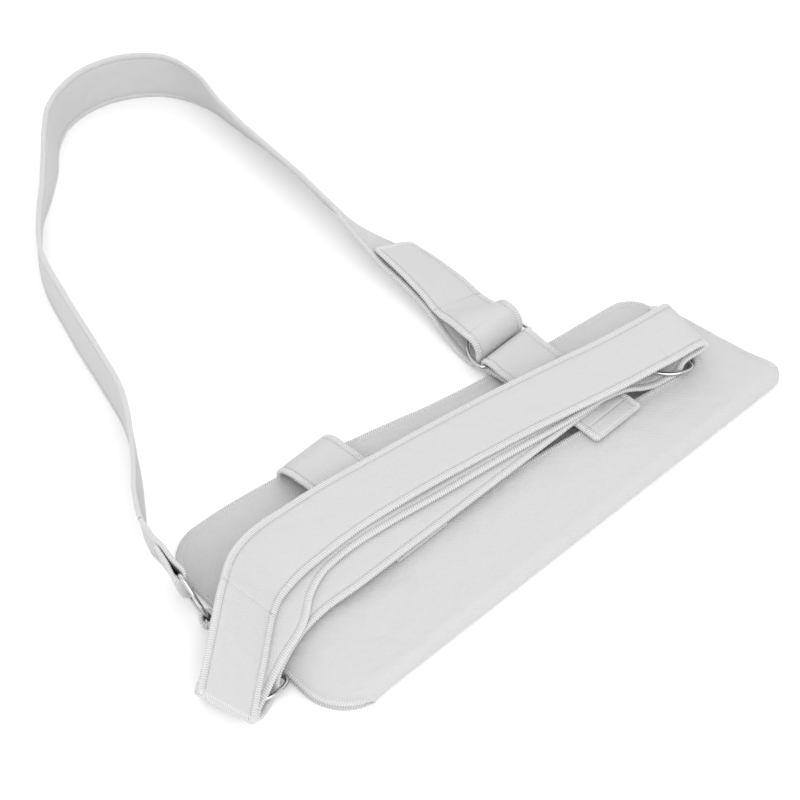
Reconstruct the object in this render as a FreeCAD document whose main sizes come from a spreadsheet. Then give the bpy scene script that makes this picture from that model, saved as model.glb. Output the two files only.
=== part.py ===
"""Arm sling lying on a table: a folded fabric pouch, two hook-and-loop bands,
a shoulder strap and a waist strap, each threaded through sewn-in D-rings.

Units are millimetres. +X runs along the pouch from the elbow end to the hand
end, +Y points from the pouch fold to the shoulder loop and +Z points up. The
origin is the middle of the bounding box on the table.
"""

import FreeCAD
import Part

import math
import os

import Sketcher

Vector = FreeCAD.Vector

os.makedirs("parts", exist_ok=True)
doc = FreeCAD.newDocument("ArmSling")

# ------------------------------------------------------------------ sizes --

SIZES = [
    # fabric: foam laminate with brushed loop faces
    ("cloth", 3.5, "thickness of pouch and strap fabric"),
    ("strap_width", 50.0, "width of every strap and band"),
    ("edging", 5.0, "width of the overlocked edge"),
    ("edging_height", 4.5, "height of the overlocked edge"),
    ("patch", 1.5, "thickness of a hook patch"),
    # pouch, seen from above
    ("fold_x_elbow", -210.0, "elbow end of the straight fold"),
    ("fold_x_hand", 205.0, "hand end of the straight fold"),
    ("elbow_x", -247.0, "elbow end of the pouch"),
    ("elbow_rim_x", -236.0, "elbow corner of the back rim"),
    ("elbow_rim_y", 224.0, "back rim height at the elbow"),
    ("hand_rim_x", 200.0, "hand corner of the back rim"),
    ("hand_rim_y", 150.0, "back rim height at the hand"),
    ("hand_x", 219.0, "hand end of the pouch at the fold"),
    ("front_elbow_y", 122.0, "front rim height at the elbow"),
    ("front_hand_y", 50.0, "front rim height at the hand"),
    ("corner", 18.0, "radius of the rim corners"),
    ("elbow_corner", 36.0, "radius of the closed elbow corner"),
    # pouch, seen from the end
    ("back_z", 0.5, "underside of the back panel"),
    ("pouch_height", 17.5, "outside height of the pouch lying flat"),
    # D-ring
    ("wire", 3.0, "ring wire diameter"),
    ("ring_half", 28.0, "half the ring's width, wire centre"),
    ("ring_bend", 4.0, "bend radius at the ends of the bar"),
    ("slack", 0.4, "play of a ring in its sewn loop"),
]

sheet = doc.addObject("Spreadsheet::Sheet", "Sizes")
for row, (alias, value, note) in enumerate(SIZES, start=1):
    sheet.set("A%d" % row, alias)
    sheet.set("B%d" % row, str(value))
    sheet.set("C%d" % row, note)
    sheet.setAlias("B%d" % row, alias)
doc.recompute()

# The pouch frame has its origin on the fold. This shift puts the origin in
# the middle of the whole sling as it lies.
SHIFT = Vector(52.7, -310.4, 0.0)


def size(alias):
    return float(sheet.get(alias))


CLOTH = size("cloth")
TOP = size("pouch_height")
WIRE = size("wire")

finished = []


# ---------------------------------------------------------------- helpers --


def new_body(label, place=None):
    body = doc.addObject("PartDesign::Body", label)
    body.Label = label
    place = place or FreeCAD.Placement()
    body.Placement = FreeCAD.Placement(SHIFT, FreeCAD.Rotation()) * place
    finished.append(body)
    return body


def origin_plane(body, role):
    for feature in body.Origin.OriginFeatures:
        if feature.Role == role:
            return feature
    raise RuntimeError("no plane " + role)


def new_sketch(body, name, role="XY_Plane", offset=None):
    sketch = body.newObject("Sketcher::SketchObject", name)
    sketch.AttachmentSupport = [(origin_plane(body, role), "")]
    sketch.MapMode = "FlatFace"
    if offset is not None:
        sketch.AttachmentOffset = offset
    return sketch


def polygon(body, name, vertices, role="XY_Plane", offset=None):
    """A closed polygon whose corners are pairs of sheet expressions."""
    sketch = new_sketch(body, name, role, offset)
    points = [
        Vector(evaluate(x), evaluate(y), 0) for x, y in vertices
    ]
    count = len(points)
    for i in range(count):
        segment = Part.LineSegment(points[i], points[(i + 1) % count])
        sketch.addGeometry(segment)
    for i in range(count):
        joined = Sketcher.Constraint("Coincident", i, 2, (i + 1) % count, 1)
        sketch.addConstraint(joined)
    for i, (x, y) in enumerate(vertices):
        for kind, expression in (("DistanceX", x), ("DistanceY", y)):
            held = Sketcher.Constraint(kind, -1, 1, i, 1, evaluate(expression))
            index = sketch.addConstraint(held)
            sketch.setExpression("Constraints[%d]" % index, expression)
    return sketch


def evaluate(expression):
    """The value of an expression written with Sizes.name terms."""
    return float(sheet.evalExpression(expression.replace("Sizes.", "")))


def pad(body, name, sketch, length, midplane=False):
    feature = body.newObject("PartDesign::Pad", name)
    feature.Profile = sketch
    feature.Midplane = midplane
    feature.setExpression("Length", length)
    sketch.Visibility = False
    return feature


def through_pocket(body, name, sketch):
    feature = body.newObject("PartDesign::Pocket", name)
    feature.Profile = sketch
    feature.Type = 1
    feature.Midplane = True
    sketch.Visibility = False
    return feature


def round_edges(body, name, feature, spots, radius):
    """Fillets the upright edges that stand at the given plan points."""
    doc.recompute()
    names = []
    for number, edge in enumerate(feature.Shape.Edges, start=1):
        low, high = edge.Vertexes[0].Point, edge.Vertexes[-1].Point
        upright = math.hypot(low.x - high.x, low.y - high.y) < 0.01
        near = any(math.hypot(low.x - x, low.y - y) < 0.5 for x, y in spots)
        if upright and near:
            names.append("Edge%d" % number)
    fillet = body.newObject("PartDesign::Fillet", name)
    fillet.Base = (feature, names)
    fillet.setExpression("Radius", radius)
    return fillet


def offset_line(points, distance):
    """The polyline's points moved sideways by a distance."""
    moved = []
    for i, point in enumerate(points):
        before = points[max(i - 1, 0)]
        after = points[min(i + 1, len(points) - 1)]
        along = (after - before).normalize()
        moved.append(point + Vector(-along.y, along.x, 0) * distance)
    return moved


def smooth_curve(points):
    curve = Part.BSplineCurve()
    curve.interpolate(points)
    return curve


def curved_band(body, name, points, role, length):
    """A cloth-thick band along a smooth line in a plane, padded sideways."""
    sketch = new_sketch(body, name + "_line", role)
    line = [Vector(u, v, 0) for u, v in points]
    left = offset_line(line, CLOTH / 2)
    right = offset_line(line, -CLOTH / 2)
    sketch.addGeometry(smooth_curve(left))
    sketch.addGeometry(Part.LineSegment(left[-1], right[-1]))
    sketch.addGeometry(smooth_curve(right))
    sketch.addGeometry(Part.LineSegment(right[0], left[0]))
    return pad(body, name, sketch, length, midplane=True)


def across(body, name, half_width, half_height, place):
    """A rectangle, width by thickness, that a strap is lofted through."""
    sketch = new_sketch(body, name, "XY_Plane", place)
    w, t = evaluate(half_width), evaluate(half_height)
    corners = [Vector(-w, -t), Vector(w, -t), Vector(w, t), Vector(-w, t)]
    for i in range(4):
        sketch.addGeometry(Part.LineSegment(corners[i], corners[(i + 1) % 4]))
    for i in range(4):
        sketch.addConstraint(
            Sketcher.Constraint("Coincident", i, 2, (i + 1) % 4, 1)
        )
    for line in (0, 2):
        sketch.addConstraint(Sketcher.Constraint("Horizontal", line))
    for line in (1, 3):
        sketch.addConstraint(Sketcher.Constraint("Vertical", line))
    sketch.addConstraint(Sketcher.Constraint("Symmetric", 0, 1, 1, 2, -1, 1))
    wide = sketch.addConstraint(
        Sketcher.Constraint("DistanceX", 0, 1, 0, 2, 2 * w)
    )
    thick = sketch.addConstraint(
        Sketcher.Constraint("DistanceY", 1, 1, 1, 2, 2 * t)
    )
    sketch.setExpression("Constraints[%d]" % wide, "2 * (%s)" % half_width)
    sketch.setExpression("Constraints[%d]" % thick, "2 * (%s)" % half_height)
    sketch.Visibility = False
    return sketch


def roll_at(mark, marks, rolls):
    """The roll part of the way between two stations."""
    for i in range(len(marks) - 1):
        if mark <= marks[i + 1]:
            share = (mark - marks[i]) / (marks[i + 1] - marks[i])
            return rolls[i] + share * (rolls[i + 1] - rolls[i])
    return rolls[-1]


def strap(
    label, stations, width="Sizes.strap_width", thick="Sizes.cloth", spacing=16.0
):
    """A strap lofted along a smooth line through stations (x, y, z, roll).

    The roll is the angle in degrees from lying flat to standing on an edge,
    turned about the way that the strap runs.
    """
    body = new_body(label)
    points = [Vector(x, y, z) for x, y, z, _ in stations]
    rolls = [roll for _, _, _, roll in stations]
    line = Part.BSplineCurve()
    line.interpolate(
        Points=points,
        InitialTangent=points[1] - points[0],
        FinalTangent=points[-1] - points[-2],
    )
    marks = [line.parameter(point) for point in points]
    count = max(round(line.length() / spacing), 3) + 1
    sections = []
    for i, point in enumerate(line.toShape().discretize(Number=count)):
        mark = line.parameter(point)
        along = line.tangent(mark)[0]
        side = Vector(0, 0, 1).cross(along).normalize()
        turn = FreeCAD.Rotation(along, roll_at(mark, marks, rolls))
        side = turn.multVec(side)
        face = along.cross(side)
        rotation = FreeCAD.Rotation(side, face, along, "ZXY")
        place = FreeCAD.Placement(point, rotation)
        name = "%s_section_%d" % (label, i)
        sections.append(
            across(body, name, "%s / 2" % width, "%s / 2" % thick, place)
        )
    loft = body.newObject("PartDesign::AdditiveLoft", label + "_loft")
    loft.Profile = sections[0]
    loft.Ruled = True
    loft.Sections = sections[1:]
    return body


def axes_placement(origin, x_axis, y_axis):
    """A placement from its origin and its first two directions."""
    z_axis = x_axis.cross(y_axis)
    rotation = FreeCAD.Rotation(x_axis, y_axis, z_axis, "XYZ")
    return FreeCAD.Placement(origin, rotation)


def ring(label, place):
    """A D-ring: the straight bar lies on Y and the bow reaches along +X."""
    body = new_body(label, place)
    half, bend = size("ring_half"), size("ring_bend")
    path = new_sketch(body, label + "_path")
    q = bend * (1 - math.sqrt(0.5))
    r = half * math.sqrt(0.5)
    straight = half - bend
    path.addGeometry(
        Part.LineSegment(Vector(0, -straight, 0), Vector(0, straight, 0))
    )
    path.addGeometry(
        Part.Arc(Vector(0, straight, 0), Vector(q, half - q, 0), Vector(bend, half, 0))
    )
    path.addGeometry(
        Part.Arc(Vector(bend, half, 0), Vector(bend + half, 0, 0), Vector(bend, -half, 0))
    )
    path.addGeometry(
        Part.Arc(Vector(bend, -half, 0), Vector(q, q - half, 0), Vector(0, -straight, 0))
    )
    section = new_sketch(body, label + "_wire", "XZ_Plane")
    section.addGeometry(Part.Circle(Vector(0, 0, 0), Vector(0, 0, 1), WIRE / 2))
    section.addConstraint(Sketcher.Constraint("Coincident", 0, 3, -1, 1))
    held = section.addConstraint(Sketcher.Constraint("Diameter", 0, WIRE))
    section.setExpression("Constraints[%d]" % held, "Sizes.wire")
    pipe = body.newObject("PartDesign::AdditivePipe", label + "_pipe")
    pipe.Profile = section
    pipe.Spine = path
    pipe.Transition = 0
    return body


def sewn_loop(label, place, length, width, eye="Sizes.wire / 2 + Sizes.slack"):
    """Cloth folded round a ring's wire, which lies on Y, with its sewn leg
    along -X."""
    body = new_body(label, place)
    outer = new_sketch(body, label + "_round", "XZ_Plane")
    outer.addGeometry(Part.Circle(Vector(0, 0, 0), Vector(0, 0, 1), 5.0))
    outer.addConstraint(Sketcher.Constraint("Coincident", 0, 3, -1, 1))
    held = outer.addConstraint(Sketcher.Constraint("Radius", 0, 5.0))
    outer.setExpression("Constraints[%d]" % held, eye + " + Sizes.cloth")
    pad(body, label + "_bead", outer, str(width), midplane=True)
    leg = polygon(
        body,
        label + "_leg_outline",
        [
            ("%s" % -length, "-Sizes.cloth"),
            ("0", "-Sizes.cloth"),
            ("0", "Sizes.cloth"),
            ("%s" % -length, "Sizes.cloth"),
        ],
        "XZ_Plane",
    )
    pad(body, label + "_leg", leg, str(width), midplane=True)
    hole = new_sketch(body, label + "_eye", "XZ_Plane")
    hole.addGeometry(Part.Circle(Vector(0, 0, 0), Vector(0, 0, 1), 1.0))
    hole.addConstraint(Sketcher.Constraint("Coincident", 0, 3, -1, 1))
    bore = hole.addConstraint(Sketcher.Constraint("Radius", 0, 1.0))
    hole.setExpression("Constraints[%d]" % bore, eye)
    through_pocket(body, label + "_bore", hole)
    return body


def fold_round_ring(label, place, points):
    """A strap bent round a ring; the points are (along the ring, height)."""
    body = new_body(label, place)
    curved_band(body, label + "_bend", points, "XZ_Plane", "Sizes.strap_width")
    return body


def box(label, place, length, width, height):
    """A rectangular block with its corner at the placement's origin."""
    block = doc.addObject("Part::Box", label)
    block.Label = label
    block.setExpression("Length", length)
    block.setExpression("Width", width)
    block.setExpression("Height", height)
    block.Placement = FreeCAD.Placement(SHIFT, FreeCAD.Rotation()) * place
    finished.append(block)
    return block


def lying(x, y, z, heading):
    """A flat placement whose +X points along a heading in degrees."""
    return FreeCAD.Placement(Vector(x, y, z), FreeCAD.Rotation(heading, 0, 0))


# ------------------------------------------------------------------ pouch --

INNER = "Sizes.pouch_height - Sizes.back_z - 2 * Sizes.cloth"
FOLD_RADIUS = "(Sizes.pouch_height - Sizes.back_z) / 2"

back_outline = [
    ("Sizes.elbow_x", FOLD_RADIUS),
    ("Sizes.elbow_rim_x + Sizes.edging", "Sizes.elbow_rim_y - Sizes.edging"),
    ("Sizes.hand_rim_x - Sizes.edging", "Sizes.hand_rim_y - Sizes.edging"),
    ("Sizes.hand_x - Sizes.edging", FOLD_RADIUS),
]


def spots(vertices):
    return [(evaluate(x), evaluate(y)) for x, y in vertices]


def raised(height):
    return FreeCAD.Placement(Vector(0, 0, height), FreeCAD.Rotation())


back = new_body("back_panel", raised(size("back_z")))
outline = polygon(back, "back_outline", back_outline)
plate = pad(back, "back_plate", outline, "Sizes.cloth")
corners = spots(back_outline)
plate = round_edges(back, "back_elbow", plate, corners[:1], "Sizes.elbow_corner")
round_edges(back, "back_rim", plate, corners[1:3], "Sizes.corner - Sizes.edging")

front_outline = [
    ("Sizes.elbow_x", FOLD_RADIUS),
    ("Sizes.elbow_x + 6", "Sizes.front_elbow_y - Sizes.edging"),
    ("145", "Sizes.front_hand_y + 11 - Sizes.edging"),
    ("168", "Sizes.front_hand_y + 50 - Sizes.edging"),
    ("Sizes.hand_x - 11 - Sizes.edging", "Sizes.front_hand_y + 50 - Sizes.edging"),
    ("Sizes.hand_x - Sizes.edging", FOLD_RADIUS),
]
front_height = TOP - CLOTH
front = new_body("front_panel", raised(front_height))
outline = polygon(front, "front_outline", front_outline)
plate = pad(front, "front_plate", outline, "Sizes.cloth")
corners = spots(front_outline)
round_edges(front, "front_elbow", plate, corners[:1], "Sizes.elbow_corner")

fold = new_body("pouch_fold")
arch = new_sketch(fold, "fold_section", "YZ_Plane")
outer_r = evaluate(FOLD_RADIUS)
inner_r = outer_r - CLOTH
middle = size("back_z") + outer_r
for radius in (outer_r, inner_r):
    arch.addGeometry(
        Part.Arc(
            Vector(outer_r, middle + radius, 0),
            Vector(outer_r - radius, middle, 0),
            Vector(outer_r, middle - radius, 0),
        )
    )
for side in (1, -1):
    arch.addGeometry(
        Part.LineSegment(
            Vector(outer_r, middle + side * outer_r, 0),
            Vector(outer_r, middle + side * inner_r, 0),
        )
    )
pad(fold, "fold_tube", arch, "Sizes.fold_x_hand - Sizes.fold_x_elbow")
fold.Placement = FreeCAD.Placement(SHIFT, FreeCAD.Rotation()) * FreeCAD.Placement(
    Vector(size("fold_x_elbow"), 0, 0), FreeCAD.Rotation()
)

gusset = new_body("elbow_gusset", raised(middle))
curved_band(
    gusset,
    "gusset_wall",
    [(-213, 3), (-228, 9), (-239, 23), (-244, 44), (-242.5, 80), (-240, 114)],
    "XY_Plane",
    INNER + " - 0.1",
)


def edging(label, base, outside, inside, rounded, radius):
    """The overlocked rim: what is left of an outline outside another."""
    body = new_body(label, raised(base))
    rim = polygon(body, label + "_outside", outside)
    solid = pad(body, label + "_solid", rim, "Sizes.edging_height")
    if rounded:
        round_edges(body, label + "_corners", solid, spots(rounded), radius)
    cut = polygon(body, label + "_inside", inside)
    through_pocket(body, label + "_cut", cut)
    return body


back_outside = [
    ("Sizes.elbow_x", FOLD_RADIUS),
    ("Sizes.elbow_rim_x", "Sizes.elbow_rim_y"),
    ("Sizes.hand_rim_x", "Sizes.hand_rim_y"),
    ("Sizes.hand_x", FOLD_RADIUS),
]
edging(
    "back_rim_overlock",
    0.0,
    back_outside,
    [
        ("Sizes.elbow_x - 10", "-20"),
        ("Sizes.elbow_x - 10", "Sizes.front_elbow_y + 6"),
        ("Sizes.elbow_x + 8.7", "Sizes.front_elbow_y + 6"),
        ("Sizes.elbow_rim_x + Sizes.edging", "Sizes.elbow_rim_y - Sizes.edging"),
        ("Sizes.hand_rim_x - Sizes.edging", "Sizes.hand_rim_y - Sizes.edging"),
        ("Sizes.hand_x - Sizes.edging", FOLD_RADIUS),
        ("Sizes.hand_x - Sizes.edging", "-20"),
    ],
    back_outside[1:3],
    "Sizes.corner",
)
front_outside = [
    ("Sizes.elbow_x + 5", "Sizes.front_elbow_y - 14"),
    ("Sizes.elbow_x + 6", "Sizes.front_elbow_y"),
    ("143", "Sizes.front_hand_y + 11"),
    ("166", "Sizes.front_hand_y + 50"),
    ("Sizes.hand_x - 11", "Sizes.front_hand_y + 50"),
    ("Sizes.hand_x", FOLD_RADIUS),
    ("Sizes.hand_x - 20", FOLD_RADIUS),
]
front_inside = [
    ("Sizes.elbow_x - 10", "-20"),
    ("Sizes.elbow_x - 10", "Sizes.front_elbow_y - Sizes.edging"),
    ("Sizes.elbow_x + 6", "Sizes.front_elbow_y - Sizes.edging"),
] + front_outline[2:] + [("Sizes.hand_x - Sizes.edging", "-20")]
edging(
    "front_rim_overlock",
    front_height - 0.9,
    front_outside,
    front_inside,
    [],
    "Sizes.corner",
)

# ------------------------------------------------------------------ bands --

BAND_Z = TOP + 0.2 + size("patch") + 0.1 + CLOTH / 2
CLOSURE_X = -101.0
ADJUSTER_X = 84.0
TIP_Y = 72.0


def upright(x):
    """A placement whose sketches on XZ lie in the YZ plane of the sling."""
    return FreeCAD.Placement(Vector(x, 0, 0), FreeCAD.Rotation(90, 0, 0))


closure = new_body("closure_band", upright(CLOSURE_X))
curved_band(
    closure,
    "closure_bend",
    [
        (206.9, 2.8), (209.1, 7.5), (206.8, 13), (200, 17.5), (186, 20),
        (165, BAND_Z), (140, BAND_Z), (110, BAND_Z), (80, BAND_Z),
    ],
    "XZ_Plane",
    "Sizes.strap_width",
)
box(
    "closure_hook_patch",
    lying(CLOSURE_X - 22, 80, TOP + 0.2, 0),
    "Sizes.strap_width - 6",
    "14",
    "Sizes.patch",
)

ring_band = new_body("ring_band", upright(ADJUSTER_X))
curved_band(
    ring_band,
    "ring_band_bend",
    [
        (141.7, 13), (133, 14.5), (123, 18.5), (113, 20.9), (103, BAND_Z),
        (88, BAND_Z), (TIP_Y + 0.3, BAND_Z),
    ],
    "XZ_Plane",
    "Sizes.strap_width",
)
box(
    "ring_band_tip",
    lying(ADJUSTER_X - 25, 56, TOP + 0.3 + size("patch"), 0),
    "Sizes.strap_width",
    str(TIP_Y - 56),
    "Sizes.cloth",
)
box(
    "ring_band_hook_patch",
    lying(ADJUSTER_X - 22, 57, TOP + 0.2, 0),
    "Sizes.strap_width - 6",
    "9",
    "Sizes.patch",
)

# --------------------------------------------------------- shoulder strap --

ADJUSTER = Vector(ADJUSTER_X, 172, 13)
adjuster_place = lying(ADJUSTER.x, ADJUSTER.y, ADJUSTER.z, 90)
ring("adjuster_ring", adjuster_place)
sewn_loop("ring_band_loop", adjuster_place, 30, 47)
fold_round_ring(
    "shoulder_strap_ring_fold",
    adjuster_place,
    [
        (22, 4.0 - 13), (15.5, 4.3 - 13), (11, 7.2 - 13), (9.4, 12 - 13),
        (9.2, 17.5 - 13), (10.6, 23.5 - 13), (14.6, 27.9 - 13), (18.4, 29.5 - 13),
        (22, 29.7 - 13),
    ],
)

elbow_bar = Vector(-254, 168, 31)
elbow_bow = Vector(-0.12, -0.946, -0.3).normalize()
elbow_width = Vector(0.297, 0.254, -0.9204)
elbow_width = (elbow_width - elbow_bow * elbow_width.dot(elbow_bow)).normalize()
elbow_place = axes_placement(elbow_bar, elbow_bow, elbow_width)
ring("shoulder_ring_elbow", elbow_place)
sewn_loop("shoulder_strap_end_loop", elbow_place, 26, 47)

elbow_apex = elbow_bar + elbow_bow * (size("ring_half") + size("ring_bend"))
tab_back = Vector(-0.643, 0.766, 0)
tab_back = (tab_back - elbow_width * tab_back.dot(elbow_width)).normalize()
sewn_loop(
    "elbow_ring_tab",
    axes_placement(elbow_apex, tab_back, elbow_width),
    9,
    15,
    "Sizes.wire / 2 + Sizes.slack + 1.6",
)


def from_ring(placement, distance, height, roll=0):
    """A strap station on a ring's middle line, seen from its bar."""
    point = placement.multVec(Vector(distance, 0, height))
    return (point.x, point.y, point.z, roll)


strap(
    "shoulder_strap_neck",
    [
        from_ring(elbow_place, -29.2, 0, -105.3),
        from_ring(elbow_place, -35, 0, -105.3),
        (-248.8, 207.5, 40.8, -102),
        (-245.4, 217, 38.4, -99),
        (-240.6, 226.5, 36.0, -97),
    ],
    spacing=8.0,
)
strap(
    "shoulder_strap",
    [
        (-240.3, 227.1, 35.8, -97),
        (-234.8, 237, 33.4, -96),
        (-220, 256, 30, -94),
        (-197, 287, 27.2, -92),
        (-174.5, 326, 25.6, -90),
        (-160, 369, 25.4, -90),
        (-142, 430, 25.4, -90),
        (-122, 485, 25.4, -90),
        (-101, 515, 25.4, -86),
        (-78, 540, 25.4, -84),
        (-56, 560, 25.4, -92),
        (-35, 581, 25.4, -98),
        (-14, 603, 25.4, -95),
        (7, 615, 25.4, -90),
        (36, 619, 25.4, -90),
        (70, 609, 25.4, -90),
        (96, 585, 25.4, -86),
        (105, 550, 25.3, -76),
        (102, 513, 24.3, -66),
        (100, 478, 23.6, -60),
        (97, 440, 23.6, -60),
        (92, 400, 24.0, -64),
        (88, 362, 23.5, -60),
        (88, 332, 19.2, -44),
        (91, 302, 14.4, -29),
        (91.5, 270, 12.0, -23),
        (90, 240, 9.4, -16),
        (86.5, 216, 6.0, -7),
        (84, 202, 4.2, 0),
        (84, 194.6, 4.0, 0),
    ],
)
strap(
    "shoulder_strap_arch",
    [
        (84, 195.0, 29.7, 0),
        (84.1, 198.4, 29.7, 0),
        (84.8, 203.5, 28.9, 1),
        (86.0, 209.5, 26.0, 3),
        (87.6, 215.5, 21.4, 7),
        (89.0, 220.5, 17.6, 11),
        (89.7, 224.5, 15.9, 13),
        (90, 228, 15.4, 14),
    ],
    spacing=6.0,
)


def above(station, lift):
    """A station that lies over another, running the other way."""
    x, y, z, roll = station
    lean = math.radians(-roll)
    return (x + lift * math.sin(lean), y, z + lift * math.cos(lean), -roll)


strap(
    "shoulder_strap_tail",
    [
        (90.1, 229, 15.3, 14),
        (90.6, 234, 15.3, 15),
        above((90.3, 246, 10.0, -17.4), 6.8),
        above((91.5, 270, 12.0, -23), 6.8),
        above((91, 302, 14.4, -29), 6.9),
        above((90.6, 310, 14.9, -30.5), 7.0),
    ],
    spacing=12.0,
)
strap(
    "shoulder_hook_patch",
    [
        above((90.3, 246, 10.0, -17.4), 3.6),
        above((91.5, 270, 12.0, -23), 3.6),
        above((91.1, 300, 14.2, -28.6), 3.7),
    ],
    "(Sizes.strap_width - 6)",
    "Sizes.patch",
    spacing=12.0,
)

# ------------------------------------------------------------ waist strap --

HAND_RING = (170.0, 80.0, 24.0, 169.0)
ELBOW_RING = (-256.0, 93.6, 9.5, 199.0)
hand_place = lying(*HAND_RING)
elbow_waist_place = lying(*ELBOW_RING)

ring("waist_ring_hand", hand_place)
sewn_loop("waist_ring_hand_tab", hand_place, 15, 36)
fold_round_ring(
    "waist_strap_hand_fold",
    hand_place,
    [
        (20, -4.1), (14.5, -3.9), (10.6, -2), (9.2, 2), (6.8, 6), (0, 8.4),
        (-9, 9), (-14.5, 12.4), (-12, 16.2), (-3, 17.2), (8, 16.2), (20, 15.5),
    ],
)
ring("waist_ring_elbow", elbow_waist_place)
sewn_loop("waist_ring_elbow_tab", elbow_waist_place, 5, 26)
fold_round_ring(
    "waist_strap_elbow_fold",
    elbow_waist_place,
    [
        (-8, 15.55), (-2, 13.8), (4.5, 10.5), (8.2, 5.5), (9.2, 0.5), (10.2, -2.8),
        (13.2, -4.9), (20, -5.2), (33, -4.9), (39, 0), (36, 5.8), (25, 10),
        (10, 16), (0, 18.6), (-8, 19.6),
    ],
)

waist_top = [
    from_ring(hand_place, 20.9, 15.5),
    (120, 90, 38.4, 0),
    (70, 103, 35.6, 0),
    (20, 115, 34.2, 0),
    (-30, 124, 34.0, 0),
    (-80, 132, 34.0, 0),
    (-130, 138, 34.9, -3),
    (-165, 137.8, 38.0, -10),
    (-189, 135.6, 42.3, -20),
    (-208, 131.2, 46.0, -29),
    (-222, 126.0, 48.4, -36),
    (-231.5, 121.0, 49.7, -40),
    (-237.5, 116.3, 50.2, -42),
]
strap("waist_strap_top", waist_top)
tail_way = Vector(-73, -57, 0).normalize()


def on_tail(distance, height):
    """A station on the waist strap's hook end."""
    point = Vector(-237.5, 116.3, 50.2) + tail_way * distance
    return (point.x, point.y, point.z + height, -42)


strap("waist_strap_tail", [on_tail(1.2, 0), on_tail(46, 0.4), on_tail(94, -2.4)])
strap(
    "waist_hook_patch",
    [on_tail(6, -3.7), on_tail(46, -3.3), on_tail(90, -5.8)],
    "(Sizes.strap_width - 8)",
    "Sizes.patch",
)
strap(
    "waist_strap_middle",
    [
        from_ring(hand_place, 20.5, -4.1),
        (137, 86.6, 20.0, 0),
        (127, 88.8, 24.0, 0),
        (115, 93.0, 28.7, 0),
        (98, 98.0, 29.4, 0),
        (60, 103, 29.1, 0),
        (0, 112, 29.1, 0),
        (-60, 121, 29.1, 0),
        (-110, 128.5, 29.1, 0),
        (-150, 132, 29.1, 0),
        (-182, 129, 29.1, 0),
        (-208, 118, 29.1, 0),
        from_ring(elbow_waist_place, -28, 19.6),
        from_ring(elbow_waist_place, -8.8, 19.6),
    ],
)
strap(
    "waist_strap_under",
    [
        (84, 102, 25.05, 0),
        (23, 103, 25.05, 0),
        (-40, 104, 25.05, 0),
        (-100, 105, 25.05, 0),
        (-160, 106, 25.05, 0),
        (-200, 107.5, 25.05, 0),
        from_ring(elbow_waist_place, -28, 15.55),
        from_ring(elbow_waist_place, -8.8, 15.55),
    ],
)

# ----------------------------------------------------------------- export --

doc.recompute()
for item in doc.Objects:
    if "Invalid" in item.State or "Error" in item.State:
        raise RuntimeError("%s is %s" % (item.Label, item.State))

whole = FreeCAD.BoundBox()
for node in finished:
    shape = node.Shape
    if shape.isNull() or not shape.isValid() or not shape.Solids:
        raise RuntimeError(node.Label + " has no valid solid")
    shape.exportStep("parts/%s.step" % node.Label)
    whole.add(shape.BoundBox)
    print("%-28s %8.0f mm3" % (node.Label, shape.Volume))

print("nodes", len(finished))
print("x %.2f to %.2f" % (whole.XMin, whole.XMax))
print("y %.2f to %.2f" % (whole.YMin, whole.YMax))
print("z %.2f to %.2f" % (whole.ZMin, whole.ZMax))
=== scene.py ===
# %% [markdown]
# # Arm sling of foam laminate
# An arm sling is cut and sewn from one kind of cloth: a thin foam with a knit
# face bonded to both sides. A folded panel makes the pouch for the forearm, and
# straps of the same cloth, threaded through D-rings, hold it. This lesson dresses
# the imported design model: it loads the fixed frame, sews the cloth pieces over
# it, and leaves the metal rings as they were designed.

import math

import bpy
import numpy as np
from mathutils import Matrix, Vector


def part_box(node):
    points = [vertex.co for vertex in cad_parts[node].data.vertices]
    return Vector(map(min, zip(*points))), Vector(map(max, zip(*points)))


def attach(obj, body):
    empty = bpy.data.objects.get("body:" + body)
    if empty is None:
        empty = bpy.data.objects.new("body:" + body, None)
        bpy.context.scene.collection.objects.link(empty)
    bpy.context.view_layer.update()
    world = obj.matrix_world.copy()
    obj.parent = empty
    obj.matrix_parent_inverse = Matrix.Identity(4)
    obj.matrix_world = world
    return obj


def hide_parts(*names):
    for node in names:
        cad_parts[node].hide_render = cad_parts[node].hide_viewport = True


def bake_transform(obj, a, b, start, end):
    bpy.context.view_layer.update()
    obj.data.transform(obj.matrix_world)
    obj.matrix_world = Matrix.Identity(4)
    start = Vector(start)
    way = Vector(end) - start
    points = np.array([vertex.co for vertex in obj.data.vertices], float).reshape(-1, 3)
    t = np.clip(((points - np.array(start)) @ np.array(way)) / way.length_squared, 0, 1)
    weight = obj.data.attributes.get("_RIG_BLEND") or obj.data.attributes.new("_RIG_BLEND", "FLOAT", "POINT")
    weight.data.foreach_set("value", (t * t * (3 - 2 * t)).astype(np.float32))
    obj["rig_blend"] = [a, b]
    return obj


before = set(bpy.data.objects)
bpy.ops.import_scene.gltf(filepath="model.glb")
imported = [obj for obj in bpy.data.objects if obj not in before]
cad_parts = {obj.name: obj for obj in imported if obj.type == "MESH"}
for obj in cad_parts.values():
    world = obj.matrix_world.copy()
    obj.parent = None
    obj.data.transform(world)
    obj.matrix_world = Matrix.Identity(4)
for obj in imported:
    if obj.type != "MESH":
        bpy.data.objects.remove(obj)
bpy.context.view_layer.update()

# %% [markdown]
# ## Where things are
# The design measures everything in millimetres from the pouch fold. The fold's
# own node says where that corner lies in the frame, so one small function turns
# a place on the sling into metres in the frame.

# %% Places on the sling
MM = 0.001
FOLD_ELBOW_END = -210.0
fold_low, fold_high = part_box("pouch_fold")
CORNER = Vector((fold_low.x - FOLD_ELBOW_END * MM, fold_low.y, 0.0))


def place(x, y, z):
    """Metres in the frame for millimetres on the sling."""
    return CORNER + Vector((x, y, z)) * MM


print("fold corner at", [round(v, 4) for v in CORNER])

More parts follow.
